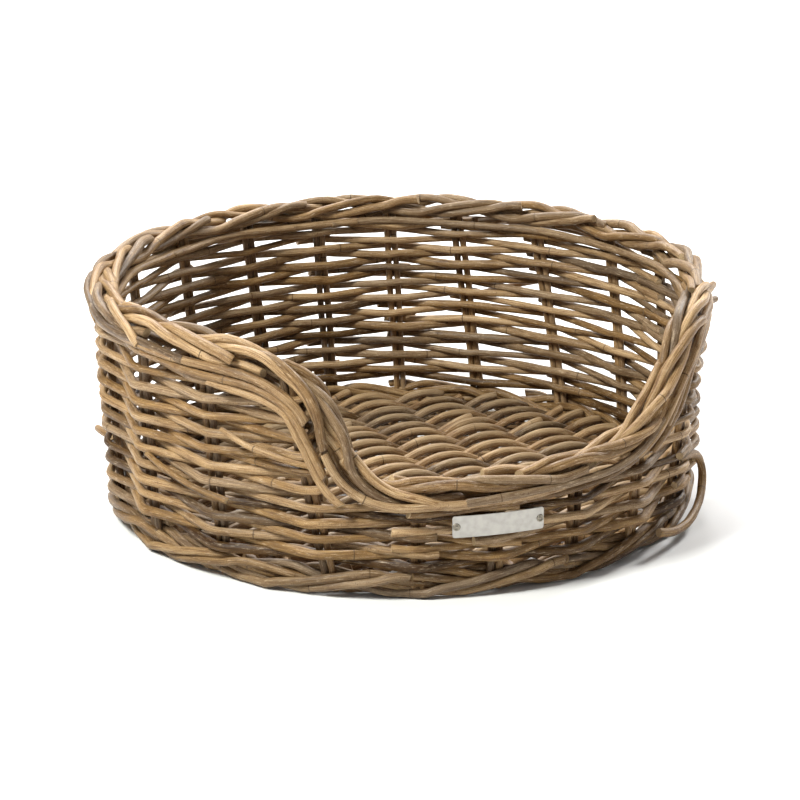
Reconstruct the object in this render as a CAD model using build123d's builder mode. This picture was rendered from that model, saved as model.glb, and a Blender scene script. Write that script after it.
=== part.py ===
from build123d import *
import math

# Wicker pet bed basket, in millimetres and degrees. The origin is on the ground at the
# centre of the foot, +Z is up, and the entry faces -Y. Angles round the basket start at the
# middle of the entry and grow towards +X.

# Overall size
height = 240.0
wall_radius_top = 297.0
wall_profile_radius = 2540.0
unrolled_radius = 294.0

# Stakes: upright rods in pairs, woven in as the wall goes up. Each pair has its own lean,
# given by its angle at the low and at the high reference height. Pairs are counted from 0.
# The edge stakes are the pairs beside the entry, where the upper rows turn back.
stake_leans = (
    (-5.5, -5.5),
    (10.6, 11.0),
    (27.0, 28.0),
    (43.0, 50.5),
    (64.0, 68.0),
    (84.0, 91.0),
    (100.0, 107.8),
    (118.4, 126.9),
    (139.0, 144.4),
    (156.4, 158.7),
    (171.8, 174.3),
    (186.5, 190.5),
    (204.0, 207.8),
    (222.5, 226.0),
    (242.0, 245.0),
    (262.0, 263.5),
    (281.5, 281.0),
    (301.3, 298.7),
    (323.2, 316.0),
    (339.8, 339.8),
)
stake_reference_heights = (20.0, 215.0)
stake_diameter = 7.0
stake_side_offset = 3.75
stake_foot_gap = 0.4
stake_height_step = 0.5
right_edge_stake = 3
left_edge_stake = 18

# Wall weavers: one rod a row, in front of one pair of stakes and behind the next
weaver_diameter = 7.3
first_row_height = 33.5
row_pitch = 8.3
row_count = 22
full_row_count = 8
weave_clearance = 0.25
turn_back_angle = 3.2
turn_back_depth = 1.4

# Foot border: three levels of thick rods inside and outside the stakes
foot_rod_diameter = 9.0
foot_level_heights = (4.3, 13.5, 22.6)
foot_tuck = 4.7
foot_pieces_per_ring = 10

# Rim border: two rods outside the stake tops, two inside and a crown rod over them. The rim
# line gives the angle and the height of the middle of the border, which dips at the entry.
rim_rod_diameter = 9.5
rim_high = 227.5
rim_line = (
    (-104.0, rim_high),
    (-98.0, rim_high),
    (-86.0, 230.0),
    (-72.0, 233.0),
    (-60.0, 231.5),
    (-50.0, 227.0),
    (-44.5, 218.0),
    (-39.3, 200.0),
    (-35.0, 162.0),
    (-31.0, 124.0),
    (-25.5, 108.5),
    (-15.0, 108.5),
    (-2.6, 112.0),
    (10.0, 117.0),
    (19.0, 124.0),
    (26.0, 136.0),
    (33.0, 163.0),
    (38.5, 190.0),
    (45.0, 214.0),
    (53.0, 225.5),
    (62.0, rim_high),
    (69.0, rim_high),
)
rim_entry_pieces = 15
rim_back_pieces = 12
rim_drop = 2.2
rim_end_gap = 0.6
rim_lane_gap = 0.4
rim_weaver_gap = 1.0
rim_sample_count = 240

# Floor: sticks from front to back, and rods woven over and under them
floor_height = 14.2
floor_stick_diameter = 8.0
floor_stick_spacing = 64.0
floor_stick_count = 9
floor_rod_diameter = 9.6
floor_rod_pitch = 13.2
floor_rod_count = 41
floor_clearance = 0.25
floor_edge_gap = 1.4
floor_end_margin = 3.0

# Name plate, left blank, and its nails
plate_width = 90.0
plate_height = 21.5
plate_thickness = 0.8
plate_corner_radius = 2.5
plate_angle = -6.0
plate_gap = 0.3
plate_row = 5
nail_side_offset = 41.0
nail_shank_diameter = 1.4
nail_length = 14.0
nail_head_diameter = 7.4
nail_head_height = 1.2
nail_gap = 0.05

# Which side of the stakes a rod passes on
outside, inside = 1, -1

# Worked out from the dimensions above
stake_pair_count = len(stake_leans)
degree_length = math.radians(unrolled_radius)
weave_depth = (stake_diameter + weaver_diameter) / 2 + weave_clearance
foot_offset = (stake_diameter + foot_rod_diameter) / 2 + weave_clearance
rim_offset = (stake_diameter + rim_rod_diameter) / 2 + weave_clearance
rim_level = (rim_rod_diameter + rim_lane_gap) / 2
crown_level = rim_level + math.sqrt((rim_rod_diameter + rim_lane_gap / 4) ** 2 - rim_offset**2)
rim_clear_distance = rim_level + rim_drop + (rim_rod_diameter + weaver_diameter) / 2 + rim_weaver_gap


def wall_radius(z):
    """Radius of the middle of the wall, whose profile is an arc that draws in at the foot."""
    rise = height - z
    return wall_radius_top - wall_profile_radius + math.sqrt(wall_profile_radius**2 - rise**2)


def place(radius, angle, z):
    """Point at a radius and an angle round the basket."""
    a = math.radians(angle)
    return Vector(radius * math.sin(a), -radius * math.cos(a), z)


def around(angle):
    """Direction round the basket at an angle, towards larger angles."""
    a = math.radians(angle)
    return Vector(math.cos(a), math.sin(a), 0)


def stake_angle(index, z):
    """Angle of a stake pair at a height."""
    turn, index = divmod(index, stake_pair_count)
    low_angle, high_angle = stake_leans[index]
    low, high = stake_reference_heights
    return low_angle + (high_angle - low_angle) * (z - low) / (high - low) + 360.0 * turn


def arc_rod(arcs, diameter):
    """Round rod along tangent arcs, each given by its start, its direction there and its end."""
    with BuildPart() as rod:
        with BuildLine() as path:
            for start, way, end in arcs:
                TangentArc(start, end, tangent=way)
        with BuildSketch(Plane(origin=path.line @ 0, z_dir=path.line % 0)):
            Circle(diameter / 2)
        sweep()
    return rod.part


def bow_rod(start, middle, end, diameter):
    """Round rod along one arc through three points."""
    with BuildPart() as rod:
        with BuildLine() as path:
            ThreePointArc(start, middle, end)
        with BuildSketch(Plane(origin=path.line @ 0, z_dir=path.line % 0)):
            Circle(diameter / 2)
        sweep()
    return rod.part


def straight_rod(start, end, diameter):
    """Round rod between two points."""
    with BuildPart() as rod:
        with BuildSketch(Plane(origin=start, z_dir=end - start)):
            Circle(diameter / 2)
        extrude(amount=(end - start).length)
    return rod.part


def save(name, rods):
    """Write the separate rods of one sub-part as one node."""
    group = Compound(label=name, children=rods)
    export_step(group, f"parts/{name}.step")


# ---------------------------------------------------------------- rim border line
# The line is drawn on the wall unrolled flat: x is the distance round, y is the height.
with BuildLine() as unrolled_rim:
    Spline([(angle * degree_length, z) for angle, z in rim_line])
rim_curve = unrolled_rim.edge()
rim_back_start = rim_line[-1][0]
rim_back_end = rim_line[0][0] + 360.0
rim_samples = [rim_curve @ (i / rim_sample_count) for i in range(rim_sample_count + 1)]


def rim_height(angle):
    """Height of the rim line at an angle."""
    x = (angle - 360.0 if angle > 180.0 else angle) * degree_length
    for left, right in zip(rim_samples[:-1], rim_samples[1:]):
        if left.X <= x <= right.X:
            return left.Y + (right.Y - left.Y) * (x - left.X) / (right.X - left.X)
    return rim_high


def below_rim(angle, z):
    """Whether a weaver at a place on the wall passes below the rim border, clear of it."""
    here = Vector((angle - 360.0 if angle > 180.0 else angle) * degree_length, z)
    distance = min((here - sample).length for sample in rim_samples)
    return z < rim_height(angle) and distance > rim_clear_distance


def rim_point(share, side, level):
    """Point of a border rod: share of the entry's line, side across, level above the line."""
    on_line = rim_curve @ share
    tangent = rim_curve % share
    flat = on_line + Vector(-tangent.Y, tangent.X) * level
    return place(wall_radius(on_line.Y) + side, flat.X / degree_length, flat.Y)


# ---------------------------------------------------------------- wall weavers
def half_wave(index, side, z):
    """Two tangent arcs of a weaver from one stake pair to the next."""
    start_angle = stake_angle(index, z)
    end_angle = stake_angle(index + 1, z)
    start = place(wall_radius(z) + side * weave_depth, start_angle, z)
    end = place(wall_radius(z) - side * weave_depth, end_angle, z)
    start_way = around(start_angle)
    end_way = around(end_angle)
    gap = start - end
    a = 2 * (start_way.dot(end_way) - 1)
    b = 2 * gap.dot(start_way + end_way)
    reach = (-b - math.sqrt(b * b - 4 * a * gap.dot(gap))) / (2 * a)
    turn = start + start_way * reach
    middle = turn + (end - end_way * reach - turn) * 0.5
    return [(start, start_way, middle), (middle, (middle - turn).normalized(), end)]


def row_side(index, row):
    """Side of the stakes on which a row passes one pair."""
    return outside if (index + row) % 2 == 1 else inside


def row_end(candidates, z, way):
    """Last stake pair that a row reaches beside the entry, and whether it goes on past it."""
    for index in candidates:
        angle = stake_angle(index, z)
        if below_rim(angle, z):
            return index, below_rim(angle + way * turn_back_angle, z)
    raise ValueError(f"no clear end for the row at height {z}")


def turn_back(index, side, z, way):
    """Short arc of a weaver past the last stake pair, towards the entry."""
    angle = stake_angle(index, z)
    start = place(wall_radius(z) + side * weave_depth, angle, z)
    end_angle = angle + way * turn_back_angle
    end = place(wall_radius(z) + side * (weave_depth - turn_back_depth), end_angle, z)
    if way > 0:
        return [(start, around(angle), end)]
    back_way = start - end
    bend = back_way.get_signed_angle(around(angle))
    return [(end, back_way.rotate(Axis.Z, -bend), start)]


def row_rods(row):
    """Rods of one row of the wall. Rods meet end to end on the inner side of the stakes."""
    z = first_row_height + row_pitch * row
    full = row < full_row_count
    first, last = row % 2, row % 2 + stake_pair_count
    first_past, last_past = False, False
    if not full:
        right_pairs = range(right_edge_stake - 1, right_edge_stake + 2)
        left_pairs = range(left_edge_stake + 1, left_edge_stake - 2, -1)
        first, first_past = row_end(right_pairs, z, -1)
        last, last_past = row_end(left_pairs, z, 1)
    paths = [[]]
    for index in range(first, last):
        if row_side(index, row) == inside and paths[-1]:
            paths.append([])
        paths[-1] += half_wave(index, row_side(index, row), z)
    if first_past:
        paths[0] = turn_back(first, row_side(first, row), z, -1) + paths[0]
    if last_past:
        paths[-1] += turn_back(last, row_side(last, row), z, 1)
    return [arc_rod(path, weaver_diameter) for path in paths]


def pierced(rod, planes):
    """Rod with the nail holes bored through it."""
    with BuildPart() as result:
        add(rod)
        with BuildSketch(*planes):
            Circle(nail_shank_diameter / 2 + nail_gap)
        extrude(amount=nail_length * 2, both=True, mode=Mode.SUBTRACT)
    return result.part


plate_z = first_row_height + row_pitch * plate_row
nail_angles = [
    plate_angle + way * math.degrees(nail_side_offset / wall_radius(plate_z)) for way in (-1, 1)
]
nail_planes = [
    Plane(place(wall_radius(plate_z), angle, plate_z), z_dir=place(1, angle, 0)) for angle in nail_angles
]
for row in range(row_count):
    rods = row_rods(row)
    if row == plate_row:
        rods = [pierced(rod, nail_planes) for rod in rods]
    save(f"weaver_row_{row + 1:02d}", rods)

# ---------------------------------------------------------------- stakes
for index in range(stake_pair_count):
    low = foot_level_heights[0] + foot_rod_diameter / 2 + stake_foot_gap
    high = low
    while high < rim_height(stake_angle(index, high)):
        high += stake_height_step
    pair = []
    for side in (-1, 1):
        places = [
            place(wall_radius(z), stake_angle(index, z), z)
            + around(stake_angle(index, z)) * side * stake_side_offset
            for z in (low, (low + high) / 2, high)
        ]
        pair.append(bow_rod(*places, stake_diameter))
    save(f"stake_pair_{index + 1:02d}", pair)

# ---------------------------------------------------------------- foot border
for name, side in (("outer", outside), ("inner", inside)):
    for level, z in enumerate(foot_level_heights):
        offset = foot_tuck if level == 0 else foot_offset
        radius = wall_radius(z) + side * offset
        step = 360.0 / foot_pieces_per_ring
        rods = []
        for piece in range(foot_pieces_per_ring):
            start = step * (piece + level / 3)
            rod = bow_rod(
                place(radius, start, z),
                place(radius, start + step / 2, z),
                place(radius, start + step, z),
                foot_rod_diameter,
            )
            if level == 0:
                rod = split(rod, bisect_by=Plane.XY, keep=Keep.TOP)
            rods.append(rod)
        save(f"foot_rod_{name}_{level + 1}", rods)

# ---------------------------------------------------------------- rim border
rim_lanes = {
    "outer_lower": (rim_offset, -rim_level - rim_drop),
    "outer_upper": (rim_offset, rim_level - rim_drop),
    "inner_lower": (-rim_offset, -rim_level - rim_drop),
    "inner_upper": (-rim_offset, rim_level - rim_drop),
    "crown": (0.0, crown_level - rim_drop),
}
for lane, (name, (side, level)) in enumerate(rim_lanes.items()):
    shift = lane / len(rim_lanes)
    rods = []
    shares = [0.0] + [(i + shift) / rim_entry_pieces for i in range(1, rim_entry_pieces)] + [1.0]
    for start, end in zip(shares[:-1], shares[1:]):
        gap = rim_end_gap / rim_curve.length
        places = (start + gap, (start + end) / 2, end - gap)
        rods.append(bow_rod(*[rim_point(share, side, level) for share in places], rim_rod_diameter))
    back = rim_back_end - rim_back_start
    shares = [0.0] + [(i + shift) / rim_back_pieces for i in range(1, rim_back_pieces)] + [1.0]
    for start, end in zip(shares[:-1], shares[1:]):
        z = rim_high + level
        radius = wall_radius(rim_high) + side
        angles = [rim_back_start + back * share for share in (start, (start + end) / 2, end)]
        rods.append(bow_rod(*[place(radius, angle, z) for angle in angles], rim_rod_diameter))
    save(f"rim_rod_{name}", rods)

# ---------------------------------------------------------------- floor
floor_radius = wall_radius(floor_height) - foot_offset - foot_rod_diameter / 2 - floor_edge_gap
floor_depth = (floor_stick_diameter + floor_rod_diameter) / 2 + floor_clearance
floor_bend = (floor_depth**2 + (floor_stick_spacing / 2) ** 2) / (2 * floor_depth)


def floor_point(x, y, sign):
    """Point of a floor rod, which crests over one stick and dips under the next."""
    stick = round(x / floor_stick_spacing)
    from_stick = x - floor_stick_spacing * stick
    rise = floor_depth - floor_bend + math.sqrt(floor_bend**2 - from_stick**2)
    return Vector(x, y, floor_height + (-sign if stick % 2 else sign) * rise)


def floor_rod(number):
    """Rod from left to right, over and under the base sticks."""
    y = (number - (floor_rod_count - 1) / 2) * floor_rod_pitch
    sign = 1 if number % 2 else -1
    reach = math.sqrt(floor_radius**2 - (abs(y) + floor_rod_diameter / 2) ** 2)
    half_count = (floor_stick_count + 1) // 2
    crossings = [floor_stick_spacing * (i + 0.5) for i in range(-half_count, half_count)]
    if min(abs(reach - x) for x in crossings) < floor_end_margin:
        reach -= 2 * floor_end_margin
    knots = [-reach] + [x for x in crossings if abs(x) < reach] + [reach]
    with BuildPart() as rod:
        with BuildLine() as path:
            for x_0, x_1 in zip(knots[:-1], knots[1:]):
                ThreePointArc(*[floor_point(x, y, sign) for x in (x_0, (x_0 + x_1) / 2, x_1)])
        with BuildSketch(Plane(origin=path.line @ 0, z_dir=path.line % 0)):
            Circle(floor_rod_diameter / 2)
        sweep()
    return rod.part


save("floor_rods", [floor_rod(number) for number in range(floor_rod_count)])

sticks = []
for number in range(floor_stick_count):
    x = floor_stick_spacing * (number - (floor_stick_count - 1) / 2)
    reach = math.sqrt(floor_radius**2 - (abs(x) + floor_stick_diameter / 2) ** 2)
    start = Vector(x, -reach, floor_height)
    sticks.append(straight_rod(start, Vector(x, reach, floor_height), floor_stick_diameter))
save("base_sticks", sticks)

# ---------------------------------------------------------------- name plate and its nails
plate_radius = wall_radius(plate_z + plate_height / 2) + weave_depth + weaver_diameter / 2 + plate_gap
plate_outer = plate_radius + plate_thickness
plate_plane = Plane(Vector(0, 0, plate_z), z_dir=place(1, plate_angle, 0))
with BuildPart() as name_plate:
    with BuildSketch(plate_plane):
        RectangleRounded(plate_width, plate_height, plate_corner_radius)
    extrude(amount=2 * plate_outer)
    with BuildSketch(Plane.XY.offset(plate_z)):
        Circle(plate_outer)
        Circle(plate_radius, mode=Mode.SUBTRACT)
    extrude(amount=plate_height, both=True, mode=Mode.INTERSECT)
    with BuildSketch(*nail_planes):
        Circle(nail_shank_diameter / 2 + 2 * nail_gap)
    extrude(amount=nail_length * 2, mode=Mode.SUBTRACT)
name_plate.part.label = "name_plate"
export_step(name_plate.part, "parts/name_plate.step")


def nail(angle):
    """Round-headed nail through the plate into a weaver."""
    face = Plane(place(plate_outer + nail_gap, angle, plate_z), z_dir=place(1, angle, 0))
    with BuildPart() as result:
        with BuildSketch(face):
            Circle(nail_head_diameter / 2)
        extrude(amount=nail_head_height)
        with BuildSketch(face):
            Circle(nail_shank_diameter / 2)
        extrude(amount=-nail_length)
    return result.part


save("plate_nails", [nail(angle) for angle in nail_angles])
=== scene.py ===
import math

import bpy
import numpy as np
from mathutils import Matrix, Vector


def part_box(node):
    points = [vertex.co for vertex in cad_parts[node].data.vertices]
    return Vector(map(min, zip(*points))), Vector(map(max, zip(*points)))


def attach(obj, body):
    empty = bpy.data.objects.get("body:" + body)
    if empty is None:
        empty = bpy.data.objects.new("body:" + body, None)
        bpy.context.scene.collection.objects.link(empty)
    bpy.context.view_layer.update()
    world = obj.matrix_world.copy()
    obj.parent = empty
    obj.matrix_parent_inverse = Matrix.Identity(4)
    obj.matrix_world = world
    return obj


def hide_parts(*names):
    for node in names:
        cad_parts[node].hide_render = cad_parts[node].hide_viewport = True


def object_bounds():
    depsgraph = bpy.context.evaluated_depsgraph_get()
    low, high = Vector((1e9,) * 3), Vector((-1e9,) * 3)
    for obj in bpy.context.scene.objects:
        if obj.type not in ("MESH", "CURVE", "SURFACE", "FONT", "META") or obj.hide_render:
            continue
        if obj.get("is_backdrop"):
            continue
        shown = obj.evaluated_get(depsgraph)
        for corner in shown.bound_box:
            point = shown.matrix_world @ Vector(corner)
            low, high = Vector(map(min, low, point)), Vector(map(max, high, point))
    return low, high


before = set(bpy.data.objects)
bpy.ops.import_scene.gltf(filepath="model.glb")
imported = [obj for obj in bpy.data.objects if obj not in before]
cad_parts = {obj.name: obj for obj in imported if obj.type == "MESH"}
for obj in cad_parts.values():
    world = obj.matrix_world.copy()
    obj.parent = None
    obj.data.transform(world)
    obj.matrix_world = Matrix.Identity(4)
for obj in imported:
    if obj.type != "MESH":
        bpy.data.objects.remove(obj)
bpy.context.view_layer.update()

luck = np.random.default_rng(11)

# Lengths are in metres and angles in degrees. Angles round the basket start at the middle of
# the entry, which faces -Y, and grow towards +X.

# ------------ dimensions shared with the CAD
wall_radius_top = 0.297
wall_profile_radius = 2.54
wall_height = 0.24
unrolled_radius = 0.294
metres_per_degree = math.radians(unrolled_radius)
stake_pair_count = 20
stake_diameter = 0.007
stake_side_offset = 0.00375
right_edge_stake = 3
left_edge_stake = 18
row_count = 22
full_row_count = 8
weaver_diameter = 0.0073
rim_high = 0.2275
rim_line = (
    (-104, rim_high), (-98, rim_high), (-86, 0.23), (-72, 0.233), (-60, 0.2315), (-50, 0.227),
    (-44.5, 0.218), (-39.3, 0.2), (-35, 0.162), (-31, 0.124), (-25.5, 0.1085), (-15, 0.1085),
    (-2.6, 0.112), (10, 0.117), (19, 0.124), (26, 0.136), (33, 0.163), (38.5, 0.19), (45, 0.214),
    (53, 0.2255), (62, rim_high), (69, rim_high),
)
rim_clear_distance = 0.0166
floor_stick_spacing = 0.064
floor_stick_count = 9
floor_rod_count = 41
floor_rod_pitch = 0.0132
plate_angle = -6.0
plate_size = (0.09, 0.0215)
nail_side_offset = 0.041

# ------------ looks of every rod
# Swells, grooves and waves are shares of a rod's thickness. Rates are in radians per metre.
rod_sides = 12
ring_step = 0.005
ring_gap = 0.00035
shortest_step = 0.0004
first_knot = 0.02
knot_spacing = (0.13, 0.34)
knot_end_gap = 0.006
knot_rings = np.array((-0.003, -0.0013, -0.0005, 0.0, 0.0005, 0.0013, 0.003))
knot_swell, knot_swell_width = 0.05, 0.0022
knot_groove, knot_groove_width = 0.04, 0.0005
knot_ring_width = 0.001
long_wave, long_wave_rate = 0.022, 95.0
short_wave, short_wave_rate = 0.016, 230.0
cut_edge = 0.0005
cut_shrink = 0.93
oval_share = 0.03
oval_twist = 14.0
grain_offset = 40.0


def wall_radius(z):
    """Radius of the middle of the wall at a height: its profile is an arc."""
    rise = np.sqrt(wall_profile_radius**2 - (wall_height - z) ** 2)
    return wall_radius_top - wall_profile_radius + rise


def place(radius, angle, z):
    """Point at a radius and an angle round the basket."""
    a = math.radians(angle)
    return np.array((radius * math.sin(a), -radius * math.cos(a), z))


def around(angle):
    """Direction round the basket at an angle."""
    a = math.radians(angle)
    return np.array((math.cos(a), math.sin(a), 0.0))


def unit(vectors):
    """Vectors scaled to length 1."""
    return vectors / np.maximum(np.linalg.norm(vectors, axis=-1, keepdims=True), 1e-9)


def middle_of(node):
    """Centre of a CAD node's box."""
    low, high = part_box(node)
    return (low + high) / 2


def random_tone(middle, scatter, lowest=0.05):
    """Tone of a rod, from dark at 0 to light at 1."""
    return float(np.clip(luck.normal(middle, scatter), lowest, 0.98))


def put_in_scene(name, data):
    """New object in the scene."""
    made = bpy.data.objects.new(name, data)
    bpy.context.collection.objects.link(made)
    return made


def add_piece(name, mesh, material, replaced):
    """Show a mesh as a piece that stands for CAD nodes."""
    mesh.materials.append(material)
    piece = put_in_scene(name, mesh)
    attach(piece, "root")
    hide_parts(*replaced)


def set_attribute(mesh, name, values):
    """Give each vertex of a mesh a value, or a vector of three."""
    values = np.array(values, np.float32)
    kind, field = ("FLOAT", "value") if values.ndim == 1 else ("FLOAT_VECTOR", "vector")
    mesh.attributes.new(name, kind, "POINT").data.foreach_set(field, values.ravel())


# ------------ rods
class Bundle:
    """Rods that are shown as one piece."""

    def __init__(self):
        self.points, self.grain, self.finish, self.knots = [], [], [], []
        self.quads, self.triangles = [], []
        self.count = 0

    def add(self, points, grain, finish, knots, quads, triangles):
        """Add one rod: its places, its looks at each place, and its faces."""
        self.points.append(points)
        self.grain.append(grain)
        self.finish.append(finish)
        self.knots.append(knots)
        self.quads.append(quads + self.count)
        self.triangles.append(triangles + self.count)
        self.count += len(points)

    def make(self, name, material, slot, replaced):
        """Turn the rods into one mesh piece that stands for CAD nodes."""
        quads = np.concatenate(self.quads)
        triangles = np.concatenate(self.triangles)
        corners = np.concatenate((quads.ravel(), triangles.ravel()))
        quad_starts = np.arange(len(quads)) * 4
        triangle_starts = len(quads) * 4 + np.arange(len(triangles)) * 3
        starts = np.concatenate((quad_starts, triangle_starts))
        mesh = bpy.data.meshes.new(name)
        mesh.vertices.add(self.count)
        mesh.vertices.foreach_set("co", np.concatenate(self.points).ravel())
        mesh.loops.add(len(corners))
        mesh.loops.foreach_set("vertex_index", corners)
        mesh.polygons.add(len(starts))
        mesh.polygons.foreach_set("loop_start", starts)
        mesh.update(calc_edges=True)
        mesh.validate()
        smooth = np.concatenate((np.ones(len(quads), bool), np.zeros(len(triangles), bool)))
        mesh.polygons.foreach_set("use_smooth", smooth)
        for label, values in (("grain", self.grain), ("finish", self.finish), ("knot", self.knots)):
            set_attribute(mesh, label, np.concatenate(values))
        add_piece(name, mesh, material, replaced)


def rounded(corners, cut):
    """Line through corners, each corner replaced by a short curve."""
    line = [corners[0]]
    for before, corner, after in zip(corners[:-2], corners[1:-1], corners[2:]):
        back, ahead = before - corner, after - corner
        reach_back = min(cut / np.linalg.norm(back), 0.49)
        reach_ahead = min(cut / np.linalg.norm(ahead), 0.49)
        start, end = corner + back * reach_back, corner + ahead * reach_ahead
        for t in (0.0, 0.25, 0.5, 0.75, 1.0):
            line.append(start * (1 - t) ** 2 + corner * 2 * t * (1 - t) + end * t**2)
    line.append(corners[-1])
    return np.array(line)


def knots_along(length):
    """Places of the knots along a rod."""
    knots = []
    knot = luck.uniform(first_knot, knot_spacing[1])
    while knot < length - knot_end_gap:
        knots.append(knot)
        knot += luck.uniform(*knot_spacing)
    return knots


def ring_places(along, knots):
    """Places of a rod's rings: at its bends, at even steps, round its knots and at its ends."""
    length = along[-1]
    even = np.linspace(0, length, max(2, int(length / ring_step)))
    grid = [along, even, *[knot + knot_rings for knot in knots], (cut_edge, length - cut_edge)]
    grid = np.unique(np.clip(np.concatenate(grid), 0, length))
    kept = [grid[0]]
    for value in grid[1:-1]:
        if value - kept[-1] > ring_gap and length - value > ring_gap:
            kept.append(value)
    return np.array(kept + [length])


def swelling(grid, middle, width):
    """Smooth swelling of height 1 round a place on a rod."""
    return np.exp(-(((grid - middle) / width) ** 2))


def rod_faces(count):
    """Quads along a rod of so many rings, and the triangles of its two cut ends."""
    first = np.arange((count - 1) * rod_sides)
    beside = first // rod_sides * rod_sides + (first + 1) % rod_sides
    quads = np.stack((first, first + rod_sides, beside + rod_sides, beside), axis=1)
    cap = np.arange(rod_sides)
    cap_next = (cap + 1) % rod_sides
    low = count * rod_sides
    high = low + rod_sides + 1
    low_cap = np.stack((low + cap, low + cap_next, np.full(rod_sides, low + rod_sides)), axis=1)
    high_cap = np.stack((high + cap_next, high + cap, np.full(rod_sides, high + rod_sides)), axis=1)
    return quads, np.concatenate((low_cap, high_cap))


def rod(bundle, line, diameter, reference, tone, taper=0.06, slants=(0.15, 0.15)):
    """Add a round rod along a line, with knots, an uneven thickness and cut ends.

    Its sides are counted from the reference: "radial", out from the basket's middle, or "up".
    """
    line = np.asarray(line, float)
    steps = np.linalg.norm(np.diff(line, axis=0), axis=1)
    line = line[np.concatenate(([True], steps > shortest_step))]
    steps = np.linalg.norm(np.diff(line, axis=0), axis=1)
    along = np.concatenate(([0.0], np.cumsum(steps)))
    length = along[-1]
    knots = knots_along(length)
    grid = ring_places(along, knots)
    count = len(grid)
    centre = np.stack([np.interp(grid, along, line[:, axis]) for axis in range(3)], axis=1)
    tangent = unit(np.gradient(centre, grid, axis=0))
    if reference == "radial":
        toward = unit(centre * (1, 1, 0))
    else:
        toward = np.tile((0.0, 0.0, 1.0), (count, 1))
    side = unit(np.cross(tangent, toward))
    up = np.cross(side, tangent)

    radius = np.ones(count) * diameter / 2
    radius *= 1 + taper * (0.5 - grid / length) * luck.choice((-1, 1))
    waves = luck.uniform(0, 2 * math.pi, 4)
    slow = long_wave * np.sin(grid * long_wave_rate + waves[0])
    fast = short_wave * np.sin(grid * short_wave_rate + waves[1])
    radius *= 1 + slow + fast
    knot_value = np.zeros(count)
    for knot in knots:
        radius *= 1 + knot_swell * swelling(grid, knot, knot_swell_width)
        radius *= 1 - knot_groove * swelling(grid, knot, knot_groove_width)
        knot_value = np.maximum(knot_value, swelling(grid, knot, knot_ring_width))
    radius[[0, -1]] *= cut_shrink

    turn = np.arange(rod_sides) * 2 * math.pi / rod_sides
    oval = 1 + oval_share * np.cos(2 * turn[None, :] + waves[2] + grid[:, None] * oval_twist)
    reach = radius[:, None] * oval
    ring = (
        centre[:, None, :]
        + side[:, None, :] * (np.cos(turn)[None, :] * reach)[..., None]
        + up[:, None, :] * (np.sin(turn)[None, :] * reach)[..., None]
    )
    for end, near, slant in zip((0, -1), (1, -2), slants):
        lean = np.cos(turn + waves[3]) * diameter / 2 * slant
        ring[end] += tangent[end] * lean[:, None]
        ring[near] += tangent[near] * lean[:, None]
    points = np.concatenate((ring.reshape(-1, 3), ring[0], centre[:1], ring[-1], centre[-1:]))

    offset = luck.uniform(0, grain_offset)
    tint = luck.uniform()
    skin = np.broadcast_arrays(grid[:, None] + offset, np.cos(turn), np.sin(turn))
    cap = np.stack((np.full(rod_sides, offset), np.cos(turn), np.sin(turn)), axis=-1)
    cap = np.concatenate((cap, ((offset, 0.0, 0.0),)))
    grain = np.concatenate((np.stack(skin, axis=-1).reshape(-1, 3), cap, cap))
    finish = np.tile((tone, tint, 0.0), (len(points), 1))
    finish[count * rod_sides:, 2] = 1.0
    knot_values = np.concatenate((np.repeat(knot_value, rod_sides), np.zeros(2 * len(cap))))
    bundle.add(points, grain, finish, knot_values, *rod_faces(count))


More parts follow.
